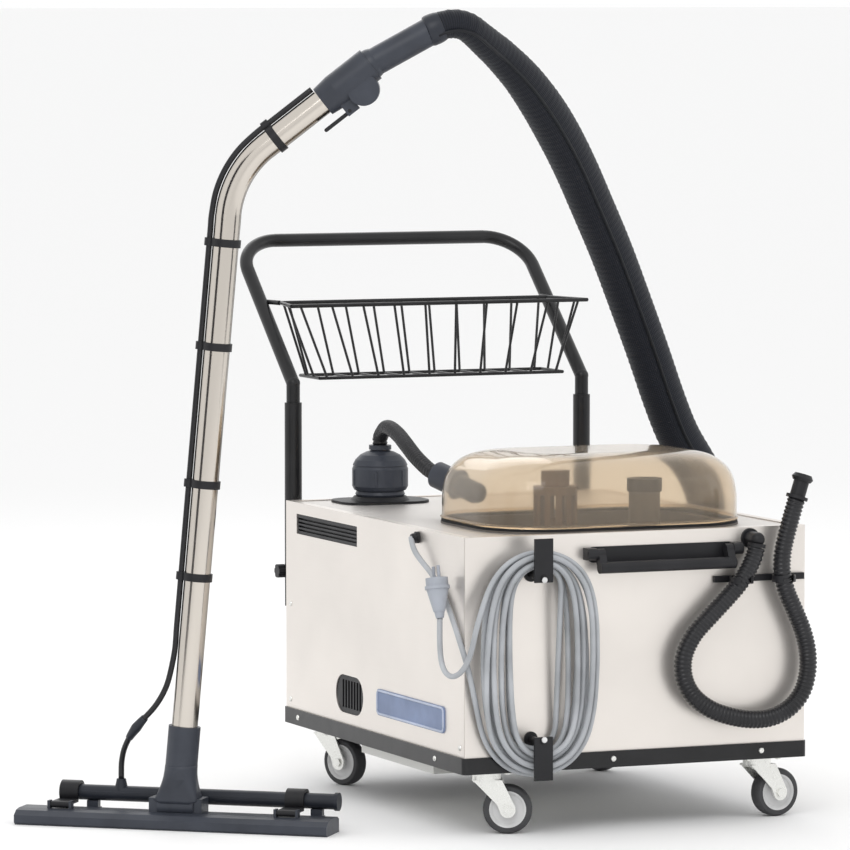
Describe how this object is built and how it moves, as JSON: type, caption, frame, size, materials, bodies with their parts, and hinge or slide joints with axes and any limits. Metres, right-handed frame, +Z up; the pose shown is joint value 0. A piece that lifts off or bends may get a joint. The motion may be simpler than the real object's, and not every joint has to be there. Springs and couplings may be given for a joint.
{
  "type": "steam cleaner",
  "caption": "Steam cleaner on swivel casters: steel box with a clear domed recovery tank, push handle with basket, stored cable, and a bent suction wand with a floor tool.",
  "frame": {"origin": "middle of the whole footprint, on the floor, with the wand standing beside the machine", "axes": "+Z up; the machine's front panel faces -Y; +X runs to the right along the front panel"},
  "size_m": [1.2163, 1.0735, 1.245],
  "materials": {
    "panel_steel": "satin",
    "black_frame": "satin",
    "galvanised": "dull",
    "zinc": "bright",
    "wand_chrome": "polished",
    "slate_plastic": "satin",
    "black_plastic": "satin",
    "badge_plastic": "satin",
    "tank_plastic": "matte",
    "brown_plastic": "matte",
    "amber_clear": "clear",
    "seal_rubber": "matte",
    "hose_black": "woven",
    "drain_black": "ribbed",
    "cable_grey": "satin",
    "wheel_rubber": "matte",
    "boiler_brass": "satin",
    "tank_white": "translucent",
    "motor_grey": "satin"
  },
  "bodies": {
    "machine": {"base_frame": "black_frame", "bottom_pan": "galvanised", "left_panel": "panel_steel", "right_panel": "panel_steel", "front_panel": "panel_steel", "rear_panel": "panel_steel", "deck": "galvanised", "side_grilles": "black_plastic", "badge_plate": "badge_plastic", "recovery_tank": "tank_plastic", "tank_seal": "seal_rubber", "standpipe": "tank_plastic", "standpipe_cap": "black_plastic", "float_cage": "brown_plastic", "mains_gland": "black_plastic", "mains_lead": "cable_grey", "mains_hank": "cable_grey", "mains_plug": "cable_grey", "lower_cable_hook": "black_plastic", "grip_plate": "black_plastic", "drain_port": "black_plastic", "drain_hose": "drain_black", "drain_cap": "black_plastic", "hose_clip": "black_plastic", "handle_sleeves": "black_frame", "caster_plates": "zinc", "boiler": "boiler_brass", "water_pump": "motor_grey", "water_tank": "tank_white", "vacuum_motor": "motor_grey", "suction_elbow": "slate_plastic", "canister_base": "black_plastic", "main_hose": "hose_black"},
    "upper_hook": {"upper_cable_hook": "black_plastic"},
    "grip": {"front_grip": "black_plastic"},
    "handle": {"push_handle": "black_frame", "basket": "black_frame"},
    "knob": {"clamp_knob": "black_plastic"},
    "dome_lid": {"dome": "amber_clear", "dome_port": "slate_plastic", "bridge_hose": "hose_black"},
    "canister": {"canister": "slate_plastic"},
    "wand": {"wand_tube": "wand_chrome", "wand_grip": "slate_plastic", "steam_line": "hose_black", "wand_clips": "black_plastic", "tool_neck": "slate_plastic"},
    "trigger": {"grip_trigger": "black_plastic"},
    "tool": {"floor_tool": "slate_plastic", "steam_bar": "slate_plastic"},
    "left_latch": {"left_latch": "black_plastic"},
    "right_latch": {"right_latch": "black_plastic"},
    "front_left_fork": {"front_left_fork": "zinc"},
    "front_left_wheel": {"front_left_wheel": "wheel_rubber"},
    "front_right_fork": {"front_right_fork": "zinc"},
    "front_right_wheel": {"front_right_wheel": "wheel_rubber"},
    "rear_left_fork": {"rear_left_fork": "zinc"},
    "rear_left_wheel": {"rear_left_wheel": "wheel_rubber"},
    "rear_right_fork": {"rear_right_fork": "zinc"},
    "rear_right_wheel": {"rear_right_wheel": "wheel_rubber"}
  },
  "joints": [
    {"name": "front_left_swivel", "type": "hinge", "parent": "machine", "child": "front_left_fork", "pos_m": [0.02, -0.436, 0.085], "axis": [0, 0, 1], "continuous": true},
    {"name": "front_left_spin", "type": "hinge", "parent": "front_left_fork", "child": "front_left_wheel", "pos_m": [0.04923, -0.44902, 0.0375], "axis": [0.4067, 0.9135, 0], "continuous": true},
    {"name": "front_right_swivel", "type": "hinge", "parent": "machine", "child": "front_right_fork", "pos_m": [0.476, -0.436, 0.085], "axis": [0, 0, 1], "continuous": true},
    {"name": "front_right_spin", "type": "hinge", "parent": "front_right_fork", "child": "front_right_wheel", "pos_m": [0.50782, -0.43266, 0.0375], "axis": [-0.1045, 0.9945, 0], "continuous": true},
    {"name": "rear_left_swivel", "type": "hinge", "parent": "machine", "child": "rear_left_fork", "pos_m": [0.02, 0.188, 0.085], "axis": [0, 0, 1], "continuous": true},
    {"name": "rear_left_spin", "type": "hinge", "parent": "rear_left_fork", "child": "rear_left_wheel", "pos_m": [0.03403, 0.15924, 0.0375], "axis": [0.8988, 0.4384, 0], "continuous": true},
    {"name": "rear_right_swivel", "type": "hinge", "parent": "machine", "child": "rear_right_fork", "pos_m": [0.476, 0.188, 0.085], "axis": [0, 0, 1], "continuous": true},
    {"name": "rear_right_spin", "type": "hinge", "parent": "rear_right_fork", "child": "rear_right_wheel", "pos_m": [0.48589, 0.15757, 0.0375], "axis": [0.9511, 0.309, 0], "continuous": true},
    {"name": "hook_turn", "type": "hinge", "parent": "machine", "child": "upper_hook", "pos_m": [0.071, -0.504, 0.396], "axis": [0, 1, 0], "range_deg": [0, 180]},
    {"name": "grip_swing", "type": "hinge", "parent": "machine", "child": "grip", "pos_m": [0.288, -0.498, 0.424], "axis": [-1, 0, 0], "range_deg": [0, 80]},
    {"name": "handle_slide", "type": "slide", "parent": "machine", "child": "handle", "axis": [0, 0, 1], "range_m": [-0.02, 0.03]},
    {"name": "knob_turn", "type": "hinge", "parent": "machine", "child": "knob", "pos_m": [-0.037, 0.276, 0.337], "axis": [-1, 0, 0], "continuous": true},
    {"name": "dome_lift", "type": "slide", "parent": "machine", "child": "dome_lid", "axis": [0, 0, 1], "range_m": [0, 0.2]},
    {"name": "canister_twist", "type": "hinge", "parent": "machine", "child": "canister", "pos_m": [0.098, 0.166, 0.48], "axis": [0, 0, 1], "range_deg": [0, 30]},
    {"name": "wand_stroke", "type": "slide", "parent": "machine", "child": "wand", "axis": [0.6334, 0.7738, 0], "range_m": [-0.1, 0.08], "deforming": ["main_hose"]},
    {"name": "tool_tilt", "type": "hinge", "parent": "wand", "child": "tool", "pos_m": [-0.387, -0.193, 0.034], "axis": [0.7738, -0.6334, 0], "range_deg": [-40, 20], "deforming": ["steam_line"]},
    {"name": "left_latch_open", "type": "hinge", "parent": "tool", "child": "left_latch", "pos_m": [-0.53903, -0.08666, 0.03], "axis": [0.7738, -0.6334, 0], "range_deg": [0, 95]},
    {"name": "right_latch_open", "type": "hinge", "parent": "tool", "child": "right_latch", "pos_m": [-0.25812, -0.31658, 0.03], "axis": [0.7738, -0.6334, 0], "range_deg": [0, 95]},
    {"name": "trigger_squeeze", "type": "hinge", "parent": "wand", "child": "trigger", "pos_m": [-0.14689, -0.30141, 1.09183], "axis": [0.4115, 0.9114, 0], "range_deg": [0, 7], "stiffness_Nm_per_rad": 0.4, "springref_deg": -2.86}
  ]
}
